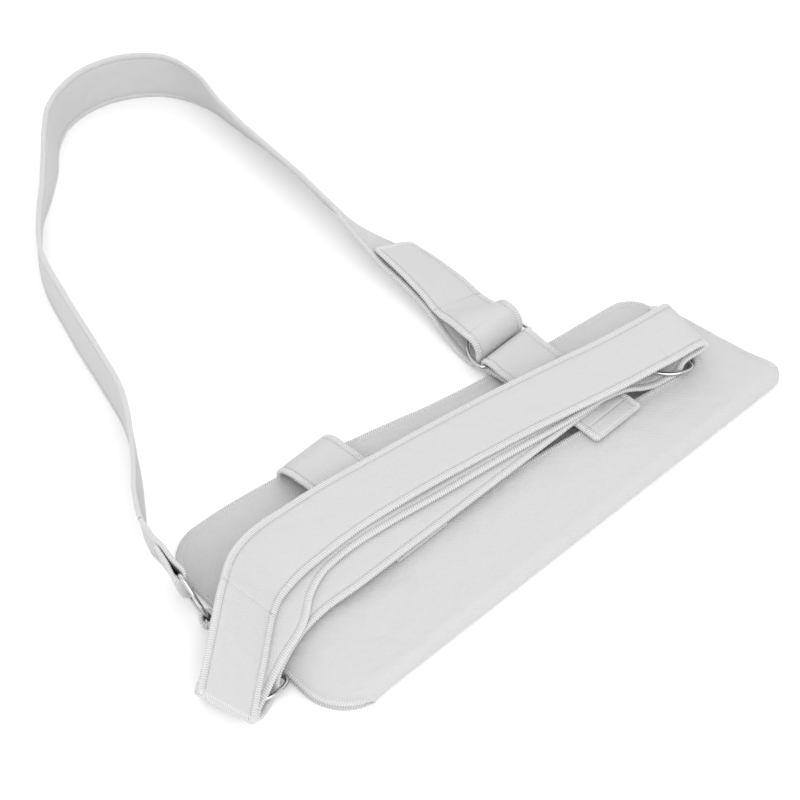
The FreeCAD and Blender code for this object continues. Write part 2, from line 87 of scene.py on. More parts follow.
# %% [markdown]
# ## Camera, floor and light
# The sling lies on a white sweep and is looked at from above the elbow end, with
# a long lens so that far edges hardly shrink. One large soft light stands at the
# upper left, a weaker one opposite lifts the shadows, and an even white world
# fills the rest: cloth this pale is read only by its soft shadows.

# %% Camera
HEADING = math.radians(-134.7)
ELEVATION = math.radians(49.0)
DISTANCE = 2.0
looked_at = place(-3.9, 202.0, 0.0)
towards = Vector(
    (
        math.cos(ELEVATION) * math.cos(HEADING),
        math.cos(ELEVATION) * math.sin(HEADING),
        math.sin(ELEVATION),
    )
)
lens = bpy.data.cameras.new("camera")
lens.lens = 116.9
lens.sensor_width = 36.0
camera = bpy.data.objects.new("camera", lens)
camera.location = looked_at + towards * DISTANCE
camera.rotation_euler = towards.to_track_quat("Z", "Y").to_euler()
bpy.context.scene.collection.objects.link(camera)
bpy.context.scene.camera = camera
print("camera", [round(v, 3) for v in camera.location])


# %% [markdown]
# ## Materials
# Every colour is written as the hex value a painter would pick, and one function
# turns it to linear light. One more function adds a node with its settings and
# links, so that each material below reads as a short recipe.


# %% Colour and node helpers
def linear(hex_colour):
    """A linear RGBA colour for an sRGB hex value."""
    parts = [int(hex_colour[i : i + 2], 16) / 255 for i in (1, 3, 5)]
    bent = [c / 12.92 if c <= 0.04045 else ((c + 0.055) / 1.055) ** 2.4 for c in parts]
    return (*bent, 1.0)


def add_node(tree, kind, settings=None, links=None, values=None):
    """A node with its settings, its input values and what feeds its inputs."""
    node = tree.nodes.new(kind)
    for name, value in (settings or {}).items():
        setattr(node, name, value)
    for name, value in (values or {}).items():
        node.inputs[name].default_value = value
    for name, source in (links or {}).items():
        tree.links.new(source, node.inputs[name])
    return node


def new_material(name, viewport):
    """An empty material and its Principled shader, wired to the output."""
    material = bpy.data.materials.new(name)
    material.use_nodes = True
    material.diffuse_color = linear(viewport)
    tree = material.node_tree
    tree.nodes.clear()
    shader = add_node(tree, "ShaderNodeBsdfPrincipled")
    add_node(
        tree, "ShaderNodeOutputMaterial", links={"Surface": shader.outputs["BSDF"]}
    )
    return material, tree, shader


# %% [markdown]
# ### Foam laminate
# The cloth is a warp-knit polyester face on foam. The knit shows as fine slanted
# ribs about 1.4 mm apart, drawn a little coarser than the real 1 mm so that they
# still show, with a short brushed pile over them that scatters light at grazing
# angles: a sheen, high roughness and hardly any gloss. The piece's own UV map is
# in millimetres along and across the cloth, so the ribs turn with each strap.


# %% Foam laminate material
RIB_SCALE = 0.3125


def knit_bump(tree, shader, strength, distance):
    """Slanted knit ribs, soft pile grain and slow foam dimples, as bump."""
    cloth = add_node(tree, "ShaderNodeUVMap", {"uv_map": "cloth"})
    ribs = add_node(
        tree,
        "ShaderNodeTexWave",
        {"wave_type": "BANDS", "bands_direction": "DIAGONAL"},
        {"Vector": cloth.outputs["UV"]},
        {"Scale": RIB_SCALE, "Distortion": 1.2, "Detail": 2.0, "Detail Scale": 0.6},
    )
    grain = add_node(
        tree,
        "ShaderNodeTexNoise",
        {},
        {"Vector": cloth.outputs["UV"]},
        {"Scale": 1.1, "Detail": 3.0, "Roughness": 0.6},
    )
    foam = add_node(
        tree,
        "ShaderNodeTexNoise",
        {},
        {"Vector": cloth.outputs["UV"]},
        {"Scale": 0.06, "Detail": 2.0, "Roughness": 0.45},
    )
    fine = add_node(
        tree,
        "ShaderNodeMath",
        {"operation": "ADD"},
        {0: ribs.outputs["Fac"], 1: grain.outputs["Fac"]},
    )
    wide = add_node(
        tree,
        "ShaderNodeBump",
        {},
        {"Height": foam.outputs["Fac"]},
        {"Strength": 0.5, "Distance": 0.004},
    )
    bump = add_node(
        tree,
        "ShaderNodeBump",
        {},
        {"Height": fine.outputs[0], "Normal": wide.outputs["Normal"]},
        {"Strength": strength, "Distance": distance},
    )
    tree.links.new(bump.outputs["Normal"], shader.inputs["Normal"])
    return ribs, grain


def foam_laminate():
    material, tree, shader = new_material("foam_laminate_knit", "#C0C0C0")
    ribs, grain = knit_bump(tree, shader, 0.35, 0.00035)
    shade = add_node(
        tree,
        "ShaderNodeMixRGB",
        {"blend_type": "MIX"},
        {"Fac": grain.outputs["Fac"]},
        {"Color1": linear("#BABABA"), "Color2": linear("#C5C5C5")},
    )
    # Painted shade: the rib bands are multiplied into the colour, so the grooves between the knit's raised
    # ribs come out a few percent darker.
    shaded_ribs_colour = add_node(
        tree,
        "ShaderNodeMixRGB",
        {"blend_type": "MULTIPLY"},
        {"Color1": shade.outputs["Color"], "Color2": ribs.outputs["Color"]},
        {"Fac": 0.05},
    )
    tree.links.new(shaded_ribs_colour.outputs["Color"], shader.inputs["Base Color"])
    shader.inputs["Roughness"].default_value = 0.88
    shader.inputs["Specular IOR Level"].default_value = 0.25
    shader.inputs["Sheen Weight"].default_value = 0.18
    shader.inputs["Sheen Roughness"].default_value = 0.45
    return material


CLOTH_FINISH = foam_laminate()


# %% [markdown]
# ### Thread, hook tape and plated wire
# The overlock is textured polyester thread, whiter than the cloth and a little
# glossy. Hook tape is moulded nylon set with rows of tiny hooks 1.5 mm apart.
# The rings are bent steel wire with a polished nickel plate: full metal, low
# roughness, with faint draw marks along the wire.


# %% Thread, hook tape and metal materials
HOOK_MM = 1.5


def overlock_thread():
    material, tree, shader = new_material("polyester_overlock_thread", "#CCCCCC")
    spot = add_node(tree, "ShaderNodeTexCoord")
    twist = add_node(
        tree,
        "ShaderNodeTexNoise",
        {},
        {"Vector": spot.outputs["Object"]},
        {"Scale": 900.0, "Detail": 2.0},
    )
    shade = add_node(
        tree,
        "ShaderNodeMixRGB",
        {},
        {"Fac": twist.outputs["Fac"]},
        {"Color1": linear("#C2C2C2"), "Color2": linear("#D4D4D4")},
    )
    tree.links.new(shade.outputs["Color"], shader.inputs["Base Color"])
    shader.inputs["Roughness"].default_value = 0.62
    shader.inputs["Sheen Weight"].default_value = 0.1
    return material


def hook_tape():
    material, tree, shader = new_material("moulded_nylon_hook_tape", "#BEBEBE")
    cloth = add_node(tree, "ShaderNodeUVMap", {"uv_map": "cloth"})
    hooks = add_node(
        tree,
        "ShaderNodeTexVoronoi",
        {},
        {"Vector": cloth.outputs["UV"]},
        {"Scale": 1 / HOOK_MM, "Randomness": 0.15},
    )
    bump = add_node(
        tree,
        "ShaderNodeBump",
        {"invert": True},
        {"Height": hooks.outputs["Distance"]},
        {"Strength": 0.8, "Distance": 0.0008},
    )
    # Painted shade: the colour darkens with distance from each hook's centre, into the low ground between
    # the raised hooks.
    shade = add_node(
        tree,
        "ShaderNodeMixRGB",
        {},
        {"Fac": hooks.outputs["Distance"]},
        {"Color1": linear("#CACACA"), "Color2": linear("#ACACAC")},
    )
    tree.links.new(shade.outputs["Color"], shader.inputs["Base Color"])
    tree.links.new(bump.outputs["Normal"], shader.inputs["Normal"])
    shader.inputs["Roughness"].default_value = 0.5
    return material


def plated_wire():
    material, tree, shader = new_material("polished_nickel_wire", "#C4C4C4")
    spot = add_node(tree, "ShaderNodeTexCoord")
    marks = add_node(
        tree,
        "ShaderNodeTexNoise",
        {},
        {"Vector": spot.outputs["Object"]},
        {"Scale": 260.0, "Detail": 4.0, "Roughness": 0.7},
    )
    gloss = add_node(
        tree,
        "ShaderNodeMapRange",
        {},
        {"Value": marks.outputs["Fac"]},
        {"To Min": 0.08, "To Max": 0.2},
    )
    bump = add_node(
        tree,
        "ShaderNodeBump",
        {},
        {"Height": marks.outputs["Fac"]},
        {"Strength": 0.08, "Distance": 0.0002},
    )
    shader.inputs["Base Color"].default_value = linear("#C4C4C4")
    shader.inputs["Metallic"].default_value = 1.0
    tree.links.new(gloss.outputs["Result"], shader.inputs["Roughness"])
    tree.links.new(bump.outputs["Normal"], shader.inputs["Normal"])
    return material


THREAD_FINISH = overlock_thread()
HOOK_FINISH = hook_tape()
METAL_FINISH = plated_wire()
print("materials", [m.name for m in bpy.data.materials])

# %% [markdown]
# ## Strap paths
# A strap is a flat band that bends, turns on its edge and folds round rings. It
# is enough to know its middle line and which way its width points at each
# station. A smooth line through the stations, cut into short even steps, gives
# the frame (along, across, up) on which everything else is placed: cloth, seams
# and stitches all use the same three numbers: along, across and height.


# %% Strap paths
def flat(stations):
    """Stations (x, y, z, roll) of a strap that lies flat or leans on an edge."""
    points = [Vector(s[:3]) for s in stations]
    made = []
    for i, point in enumerate(points):
        before = points[max(i - 1, 0)]
        after = points[min(i + 1, len(points) - 1)]
        along = (after - before).normalized()
        side = Vector((0, 0, 1)).cross(along).normalized()
        roll = math.radians(stations[i][3])
        turned = side * math.cos(roll) + along.cross(side) * math.sin(roll)
        made.append((point, turned))
    return made


class Ring:
    """Where a D-ring's bar is: its middle, its way to the bow and its width."""

    def __init__(self, bar, bow, width):
        self.bar = Vector(bar)
        self.bow = Vector(bow).normalized()
        width = Vector(width)
        self.width = (width - self.bow * width.dot(self.bow)).normalized()
        self.up = self.bow.cross(self.width)

    def at(self, distance, height):
        return self.bar + self.bow * distance + self.up * height

    def around(self, points):
        """Stations of cloth that bends round the ring's wire."""
        return [(self.at(d, h), self.width.copy()) for d, h in points]

    def level(self, distance, height):
        point = self.at(distance, height)
        return (point.x, point.y, point.z, 0)


def heading(degrees):
    turn = math.radians(degrees)
    return Vector((math.cos(turn), math.sin(turn), 0))


def flat_ring(x, y, z, degrees):
    bow = heading(degrees)
    return Ring((x, y, z), bow, Vector((0, 0, 1)).cross(bow))


ADJUSTER_LEVEL = 13.0
adjuster = flat_ring(84, 172, ADJUSTER_LEVEL, 90)
hand_ring = flat_ring(170, 80, 24, 169)
elbow_ring = flat_ring(-256, 93.6, 9.5, 199)
shoulder_ring = Ring((-254, 168, 31), (-0.12, -0.946, -0.3), (0.297, 0.254, -0.9204))
WIRE_RADIUS = 1.5
SLACK = 0.4
CLOTH = 3.5
EYE = WIRE_RADIUS + SLACK + CLOTH / 2


def wrap(ring, leg, reach=EYE):
    """Cloth that comes along under a ring, turns round the wire and returns."""
    turn = [
        (reach * math.sin(a), -reach * math.cos(a)) for a in np.linspace(0, math.pi, 7)
    ]
    under = [(-leg, -1.9), (-leg * 0.5, -2.2)]
    over = [(-leg * 0.5, 2.2), (-leg, 1.9)]
    return ring.around(under + turn + over)


class Band:
    """A strap's middle line in short even steps, with its frame at each."""

    def __init__(self, stations, step=2.5):
        points = np.array([s[0] for s in stations], float)
        sides = [np.array(stations[0][1], float)]
        for _, side in stations[1:]:
            side = np.array(side, float)
            sides.append(side if side @ sides[-1] >= 0 else -side)
        sides = np.array(sides)
        marks = np.concatenate(
            [[0], np.cumsum(np.linalg.norm(np.diff(points, axis=0), axis=1))]
        )
        fine = np.linspace(0, marks[-1], int(marks[-1] / 0.5) + 2)
        line = spline(marks, points, fine)
        run = np.concatenate(
            [[0], np.cumsum(np.linalg.norm(np.diff(line, axis=0), axis=1))]
        )
        self.length = run[-1]
        self.s = np.linspace(0, self.length, max(int(self.length / step), 4) + 1)
        at = np.interp(self.s, run, fine)
        self.point = spline(marks, points, at)
        self.marks = np.interp(marks, fine, run)
        along = np.gradient(self.point, self.s, axis=0)
        self.along = along / np.linalg.norm(along, axis=1)[:, None]
        side = np.stack([np.interp(at, marks, sides[:, k]) for k in range(3)], 1)
        side -= (side * self.along).sum(1)[:, None] * self.along
        self.side = side / np.linalg.norm(side, axis=1)[:, None]
        self.up = np.cross(self.along, self.side)

    def at(self, s, v, h):
        """The point s along, v across and h above the middle, in frame metres."""
        s, v, h = np.broadcast_arrays(*(np.asarray(q, float) for q in (s, v, h)))
        out = self.pick(self.point, s)
        out = out + self.pick(self.side, s) * v[..., None]
        out = out + self.pick(self.up, s) * h[..., None]
        return out * MM + np.array(CORNER)

    def pick(self, values, s):
        return np.stack([np.interp(s, self.s, values[:, k]) for k in range(3)], -1)


def spline(marks, points, wanted):
    """A smooth line through the points, by cubic Hermite pieces."""
    slopes = np.gradient(points, marks, axis=0)
    span = np.clip(np.searchsorted(marks, wanted, side="right") - 1, 0, len(marks) - 2)
    width = marks[span + 1] - marks[span]
    t = ((wanted - marks[span]) / width)[:, None]
    width = width[:, None]
    start, end = points[span], points[span + 1]
    return (
        (2 * t**3 - 3 * t**2 + 1) * start
        + (t**3 - 2 * t**2 + t) * width * slopes[span]
        + (3 * t**2 - 2 * t**3) * end
        + (t**3 - t**2) * width * slopes[span + 1]
    )


# %% [markdown]
# The waist strap is one long piece. From under the others it runs to the elbow
# ring, round it, back to the hand ring as a second layer, round that, and back
# over both as the top layer whose free end carries the hook patch. The shoulder
# strap starts sewn round its own elbow ring, stands on its edge round the neck
# loop, passes up through the adjuster ring and lies back on itself.

# %% The sling's straps
waist_lower_stations = (
    flat(
        [
            (84, 102, 25.05, 0),
            (23, 103, 25.05, 0),
            (-40, 104, 25.05, 0),
            (-100, 105, 25.05, 0),
            (-160, 106, 25.05, 0),
            (-200, 107.5, 25.05, 0),
            elbow_ring.level(-28, 15.55),
        ]
    )
    + elbow_ring.around(
        [
            (-8.4, 15.5), (-2, 13.8), (4.5, 10.5), (8.2, 5.5), (9.2, 0.5), (10.2, -2.8),
            (13.2, -4.9), (20, -5.2), (33, -4.9), (39, 0), (36, 5.8), (25, 10),
            (10, 16), (0, 18.6), (-8.4, 19.6),
        ]
    )
    + flat(
        [
            elbow_ring.level(-28, 19.6),
            (-208, 118, 29.1, 0),
            (-182, 129, 29.1, 0),
            (-150, 132, 29.1, 0),
            (-110, 128.5, 29.1, 0),
            (-60, 121, 29.1, 0),
            (0, 112, 29.1, 0),
            (60, 103, 29.1, 0),
            (98, 98.0, 29.4, 0),
            (115, 93.0, 28.7, 0),
            (127, 88.8, 24.0, 0),
            (137, 86.6, 20.0, 0),
        ]
    )
    + hand_ring.around(
        [
            (20, -4.1), (14.5, -3.9), (10.6, -2), (9.2, 2), (6.8, 6), (0, 8.4),
            (-9, 9), (-14.5, 12.4), (-12, 16.2), (-3, 17.2), (8, 16.2), (20.4, 15.5),
        ]
    )
)
waist_upper_stations = flat(
    [
        hand_ring.level(20.4, 15.5),
        (120, 90, 38.4, 0),
        (70, 103, 35.6, 0),
        (20, 115, 34.2, 0),
        (-30, 124, 34.0, 0),
        (-80, 132, 34.0, 0),
        (-130, 138, 34.9, -3),
        (-165, 137.8, 38.0, -10),
        (-189, 135.6, 42.3, -20),
        (-208, 131.2, 46.0, -29),
        (-222, 126.0, 48.4, -36),
        (-237.5, 116.3, 50.2, -42),
        (-273.8, 88, 50.6, -42),
        (-311.6, 58.5, 47.8, -42),
    ]
)
ADJUSTER_FOLD = [
    (22, 4.0), (15.5, 4.3), (11, 7.2), (9.4, 12), (9.2, 17.5), (10.6, 23.5),
    (14.6, 27.9), (18.4, 29.5), (22, 29.7),
]
shoulder_stations = (
    flat(
        [
            (-248.8, 207.5, 40.8, -102),
            (-245.4, 217, 38.4, -99),
            (-240.3, 227.1, 35.8, -97),
            (-234.8, 237, 33.4, -96),
            (-220, 256, 30, -94),
            (-197, 287, 27.2, -92),
            (-174.5, 326, 25.6, -90),
            (-160, 369, 25.4, -90),
            (-142, 430, 25.4, -90),
            (-122, 485, 25.4, -90),
            (-101, 515, 25.4, -86),
            (-78, 540, 25.4, -84),
            (-56, 560, 25.4, -92),
            (-35, 581, 25.4, -98),
            (-14, 603, 25.4, -95),
            (7, 615, 25.4, -90),
            (36, 619, 25.4, -90),
            (70, 609, 25.4, -90),
            (96, 585, 25.4, -86),
            (105, 550, 25.3, -76),
            (102, 513, 24.3, -66),
            (100, 478, 23.6, -60),
            (97, 440, 23.6, -60),
            (92, 400, 24.0, -64),
            (88, 362, 23.5, -60),
            (88, 332, 19.2, -44),
            (91, 302, 14.4, -29),
            (91.5, 270, 12.0, -23),
            (90, 240, 9.4, -16),
            (86.5, 216, 6.0, -7),
        ]
    )
    + adjuster.around([(d, z - ADJUSTER_LEVEL) for d, z in ADJUSTER_FOLD])
)


def above(x, y, z, roll, lift):
    """A station that lies over another, running the other way."""
    lean = math.radians(-roll)
    return (x + lift * math.sin(lean), y, z + lift * math.cos(lean), -roll)


shoulder_tail_stations = flat(
    [
        (84, 194, 29.7, 0),
        (84.1, 198.4, 29.7, 0),
        (84.8, 203.5, 28.9, 1),
        (86.0, 209.5, 26.0, 3),
        (87.6, 215.5, 21.4, 7),
        (89.0, 220.5, 17.6, 11),
        (89.7, 224.5, 15.9, 13),
        (90.6, 234, 15.3, 15),
        above(90.3, 246, 10.0, -17.4, 6.8),
        above(91.5, 270, 12.0, -23, 6.8),
        above(91, 302, 14.4, -29, 6.9),
        above(90.6, 310, 14.9, -30.5, 7.0),
    ]
)
shoulder_lead_stations = wrap(shoulder_ring, 27) + shoulder_ring.around(
    [(-32, 0.9)]
) + flat([(-248.8, 207.5, 40.8, -102), (-247.6, 211.6, 39.9, -100.7)])

print("waist strap lower part", round(Band(waist_lower_stations).length), "mm")

# %% [markdown]
# ## Strap cloth
# The strap's section is a soft slab: 3.5 mm thick, pressed flatter under the
# overlock at each edge, with a small groove where the needle thread pulls the
# foam down. Sweeping that section along the middle line, ring of points by ring
# of points, keeps the groove and the rounded free ends exact, which a bevelled
# curve would not.

# %% Strap cloth
HALF = 25.0
END_ROUND = 3.0
ACROSS = [0.0, 0.3, 1.2, 2.6, 4.3, 5.0, 5.6, 7.5, 12.0, 18.0]
THICKNESS = [0.35, 1.05, 1.35, 1.4, 1.2, 0.7, 1.3, 1.7, 1.75, 1.75]


def slab_section(half, scale=1.0):
    """The closed outline of a strap's section as (across, height) pairs."""
    inward = [a for a in ACROSS if a < half - 1]
    right = [(half - a, THICKNESS[i] * scale) for i, a in enumerate(inward)]
    top = right + [(0.0, 1.75 * scale)] + [(-v, h) for v, h in reversed(right)]
    return top + [(v, -h) for v, h in reversed(top)]


def narrowing(to_end):
    """How much a rounded free end takes off each side, in millimetres."""
    d = np.clip(END_ROUND - to_end, 0, END_ROUND)
    return np.minimum(END_ROUND - np.sqrt(END_ROUND**2 - d**2), END_ROUND * 0.8)


def slow_waves(band, s, v):
    """The gentle unevenness of worn cloth, which dies out at the band's ends."""
    fade = np.clip(np.minimum(s, band.length - s) / 15.0, 0, 1)
    wide = 0.22 * np.sin(s / 31.0 + v / 23.0)
    narrow = 0.18 * np.sin(s / 17.0 - v / 40.0 + 2)
    return fade * (wide + narrow)


def mesh_object(name, points, faces, finish, uvs=None):
    """A mesh object at the origin, with its finish and its cloth UV map."""
    mesh = bpy.data.meshes.new(name)
    mesh.from_pydata([tuple(p) for p in points], [], faces)
    if uvs is not None:
        layer = mesh.uv_layers.new(name="cloth")
        corner = np.array([uvs[loop.vertex_index] for loop in mesh.loops], float)
        layer.data.foreach_set("uv", corner.ravel())
    mesh.materials.append(finish)
    mesh.polygons.foreach_set("use_smooth", [True] * len(mesh.polygons))
    mesh.set_sharp_from_angle(angle=math.radians(62))
    mesh.update()
    made = bpy.data.objects.new(name, mesh)
    bpy.context.scene.collection.objects.link(made)
    return made


def face_out(made):
    """Turns a closed mesh's faces outwards, by the sign of its volume."""
    mesh = made.data
    mesh.calc_loop_triangles()
    points = np.array([v.co for v in mesh.vertices])
    corners = np.array([t.vertices for t in mesh.loop_triangles])
    a, b, c = (points[corners[:, k]] for k in range(3))
    if (a * np.cross(b, c)).sum() < 0:
        mesh.flip_normals()
    return made


def strap_cloth(
    name, band, first, last, half=HALF, free_end=False, lift=0.0, thick=1.0,
    finish=CLOTH_FINISH, rows=(),
):
    """A closed slab of cloth along a band, pressed in where a row crosses it."""
    count = max(int((last - first) / 2.5), 6)
    s = np.linspace(first, last, count + 1)
    for row in rows:
        s = np.concatenate([s[np.abs(s - row) > 2.4], row + np.linspace(-1.8, 1.8, 7)])
    s = np.sort(s)
    press = np.ones(len(s))
    for row in rows:
        press -= 0.5 * np.exp(-(((s - row) / 0.8) ** 2))
    section = np.array(slab_section(half, thick))
    n = len(section)
    v = section[:, 0][None, :] * np.ones((len(s), 1))
    if free_end:
        v = v * (1 - narrowing(last - s) / half)[:, None]
    waves = slow_waves(band, s[:, None], v)
    h = section[:, 1][None, :] * press[:, None] + waves + lift
    points = band.at(np.repeat(s, n), v.ravel(), h.ravel())
    faces = []
    for i in range(len(s) - 1):
        for j in range(n):
            k = (j + 1) % n
            faces.append((i * n + j, i * n + k, (i + 1) * n + k, (i + 1) * n + j))
    faces.append(tuple(reversed(range(n))))
    faces.append(tuple(range((len(s) - 1) * n, len(s) * n)))
    uvs = np.stack([np.repeat(s, n), v.ravel()], 1)
    return face_out(mesh_object(name, points, faces, finish, uvs))


# %% [markdown]
# ## Seams by Geometry Nodes
# Overlock is one thread loop after another, wrapped over the raw edge every
# 1.85 mm, and a needle line of short stitches runs just inside it. Both are the
# same job: repeat a small shape along a line, turned to face away from the
# cloth. So one tree does it. Its inputs are the pitch, the shape and the finish,
# and the line carries an attribute that says which way is out.


# %% The seam tree
def seam_tree():
    tree = bpy.data.node_groups.new("repeat along a seam", "GeometryNodeTree")
    sockets = (
        ("Seam", "INPUT", "NodeSocketGeometry"),
        ("Pitch", "INPUT", "NodeSocketFloat"),
        ("Stitch", "INPUT", "NodeSocketObject"),
        ("Finish", "INPUT", "NodeSocketMaterial"),
        ("Stitches", "OUTPUT", "NodeSocketGeometry"),
    )
    for name, way, kind in sockets:
        tree.interface.new_socket(name=name, in_out=way, socket_type=kind)
    given = add_node(tree, "NodeGroupInput")
    line = add_node(tree, "GeometryNodeMeshToCurve", {}, {"Mesh": given.outputs["Seam"]})
    steps = add_node(
        tree,
        "GeometryNodeResampleCurve",
        {"mode": "LENGTH"},
        {"Curve": line.outputs["Curve"], "Length": given.outputs["Pitch"]},
    )
    along = add_node(tree, "GeometryNodeInputTangent")
    outward = add_node(
        tree,
        "GeometryNodeInputNamedAttribute",
        {"data_type": "FLOAT_VECTOR"},
        values={"Name": "outward"},
    )
    forward = add_node(
        tree,
        "FunctionNodeAlignRotationToVector",
        {"axis": "X"},
        {"Vector": along.outputs["Tangent"]},
    )
    turned = add_node(
        tree,
        "FunctionNodeAlignRotationToVector",
        {"axis": "Y", "pivot_axis": "X"},
        {
            "Rotation": forward.outputs["Rotation"],
            "Vector": outward.outputs["Attribute"],
        },
    )
    shape = add_node(
        tree, "GeometryNodeObjectInfo", {}, {"Object": given.outputs["Stitch"]}
    )
    placed = add_node(
        tree,
        "GeometryNodeInstanceOnPoints",
        {},
        {
            "Points": steps.outputs["Curve"],
            "Instance": shape.outputs["Geometry"],
            "Rotation": turned.outputs["Rotation"],
        },
    )
    solid = add_node(
        tree,
        "GeometryNodeRealizeInstances",
        {},
        {"Geometry": placed.outputs["Instances"]},
    )
    painted = add_node(
        tree,
        "GeometryNodeSetMaterial",
        {},
        {"Geometry": solid.outputs["Geometry"], "Material": given.outputs["Finish"]},
    )
    add_node(
        tree, "NodeGroupOutput", links={"Stitches": painted.outputs["Geometry"]}
    )
    return tree


SEAM_TREE = seam_tree()


def tube_shape(name, path, radius, sides=5, flat=1.0):
    """A short closed tube along a path in millimetres, for one stitch."""
    path = np.array(path, float)
    along = np.gradient(path, axis=0)
    along /= np.linalg.norm(along, axis=1)[:, None]
    first = np.cross(along, (1.0, 0.0, 0.0))
    first /= np.linalg.norm(first, axis=1)[:, None]
    second = np.cross(along, first)
    points, faces = [], []
    for i in range(len(path)):
        taper = 0.55 if i in (0, len(path) - 1) else 1.0
        for k in range(sides):
            a = 2 * math.pi * k / sides
            out = first[i] * math.cos(a) * flat + second[i] * math.sin(a)
            points.append((path[i] + out * radius * taper) * MM)
    for i in range(len(path) - 1):
        for k in range(sides):
            m = (k + 1) % sides
            row = i * sides
            faces.append((row + k, row + m, row + sides + m, row + sides + k))
    faces.append(tuple(reversed(range(sides))))
    faces.append(tuple(range((len(path) - 1) * sides, len(path) * sides)))
    return face_out(mesh_object(name, points, faces, THREAD_FINISH))


LOOP_PATH = [
    (1.1, -4.6, 1.15), (0.7, -3.2, 1.6), (0.1, -1.3, 1.55), (-0.2, 0.0, 0.9),
    (-0.3, 0.3, 0.0), (-0.2, 0.0, -0.9), (0.1, -1.3, -1.55), (0.7, -3.2, -1.6),
    (1.1, -4.6, -1.15),
]
overlock_loop = tube_shape("overlock_loop", LOOP_PATH, 0.64, flat=0.6)
rim_path = [(x, y + 0.4, z * 1.3) for x, y, z in LOOP_PATH]
rim_loop = tube_shape("rim_loop", rim_path, 0.64, flat=0.6)
needle_stitch = tube_shape(
    "needle_stitch", [(-0.85, 0, 0), (-0.4, 0, 0.12), (0.4, 0, 0.12), (0.85, 0, 0)], 0.34
)
OVERLOCK_PITCH = 1.85
NEEDLE_PITCH = 2.5
NEEDLE_INSET = 5.4
NEEDLE_HEIGHT = 1.28
ROW_INSET = 5.6
ROW_HEIGHT = 0.95
print("faces in one overlock loop", len(overlock_loop.data.polygons))


# %% [markdown]
# ## Seam lines
# A seam line is worked out on the flat strap, in millimetres along and across,
# and then carried on to the bent strap. Going once round the strap in one
# direction keeps every loop the same way up.


# %% Seam lines
def quarter_turn(s, v, radius, quarter):
    """One rounded corner about (s, v), as the first or second quarter turn."""
    made = []
    for a in np.linspace(0, math.pi / 2, 5) + quarter * math.pi / 2:
        ds, dv = math.sin(a), math.cos(a)
        made.append((s + radius * ds, v + radius * dv, ds, dv))
    return made


def outline(first, last, half, free_end, inset=0.0):
    """Strands of (along, across, out along, out across) round a strap."""
    w = half - inset
    if not free_end:
        run = np.arange(first, last + 0.1, 2.0)
        return [[(s, w, 0, 1) for s in run], [(s, -w, 0, -1) for s in reversed(run)]]
    r = max(END_ROUND - inset, 1.5)
    high = last - inset
    run = np.arange(first, high - r + 0.1, 2.0)
    strand = [(s, w, 0, 1) for s in run]
    strand += quarter_turn(high - r, w - r, r, 0)
    strand += [(high, v, 1, 0) for v in np.linspace(w - r, r - w, 12)[1:-1]]
    strand += quarter_turn(high - r, r - w, r, 1)
    strand += [(s, -w, 0, -1) for s in reversed(run)]
    return [strand]


def seam_strand(band, strand, height):
    """A strand's points in the frame and their outward directions."""
    s, v, ds, dv = (np.array([q[k] for q in strand], float) for k in range(4))
    points = band.at(s, v, height + slow_waves(band, s, v))
    out = band.pick(band.along, s) * ds[:, None] + band.pick(band.side, s) * dv[:, None]
    return points, out


def sew(name, strands, pitch, stitch, finish):
    """One mesh of stitches along the strands, made by the seam tree."""
    points, edges, outs = [], [], []
    for line, out in strands:
        start = len(points)
        points += [tuple(p) for p in line]
        outs += [tuple(o) for o in out]
        edges += [(start + i, start + i + 1) for i in range(len(line) - 1)]
    mesh = bpy.data.meshes.new(name + "_line")
    mesh.from_pydata(points, edges, [])
    field = mesh.attributes.new("outward", "FLOAT_VECTOR", "POINT")
    field.data.foreach_set("vector", np.array(outs, float).ravel())
    rail = bpy.data.objects.new(name + "_line", mesh)
    bpy.context.scene.collection.objects.link(rail)
    modifier = rail.modifiers.new("seam", "NODES")
    modifier.node_group = SEAM_TREE
    names = {
        item.name: item.identifier
        for item in SEAM_TREE.interface.items_tree
        if item.in_out == "INPUT"
    }
    modifier[names["Pitch"]] = pitch * MM
    modifier[names["Stitch"]] = stitch
    modifier[names["Finish"]] = finish
    bpy.context.view_layer.update()
    ready = rail.evaluated_get(bpy.context.evaluated_depsgraph_get())
    made = bpy.data.objects.new(name, bpy.data.meshes.new_from_object(ready))
    made.data.name = name
    bpy.data.objects.remove(rail)
    for leftover in list(made.data.attributes):
        if leftover.name == "outward":
            made.data.attributes.remove(leftover)
    bpy.context.scene.collection.objects.link(made)
    made.data.polygons.foreach_set("use_smooth", [True] * len(made.data.polygons))
    return made


def fasten(pieces, how):
    """Lets pieces ride on a body, or bend between two bodies."""
    for piece in pieces:
        if isinstance(how, str):
            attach(piece, how)
        else:
            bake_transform(piece, how[0], how[1], start=how[2], end=how[3])


def edge_stitches(name, band, first, last, half, free_end, rows):
    """The overlock, its needle lines and any cross rows of one strap."""
    edge = [seam_strand(band, o, 0.0) for o in outline(first, last, half, free_end)]
    overlock = sew(name + "_overlock", edge, OVERLOCK_PITCH, overlock_loop, THREAD_FINISH)
    needle = []
    for face in (1, -1):
        for strand in outline(first, last, half, free_end, NEEDLE_INSET):
            needle.append(seam_strand(band, strand, face * NEEDLE_HEIGHT))
        for s in rows:
            across = np.linspace(ROW_INSET - half, half - ROW_INSET, 24)
            strand = [(s, v, 1, 0) for v in across]
            needle.append(seam_strand(band, strand, face * ROW_HEIGHT))
    stitches = sew(name + "_needle_line", needle, NEEDLE_PITCH, needle_stitch, THREAD_FINISH)
    return [overlock, stitches]


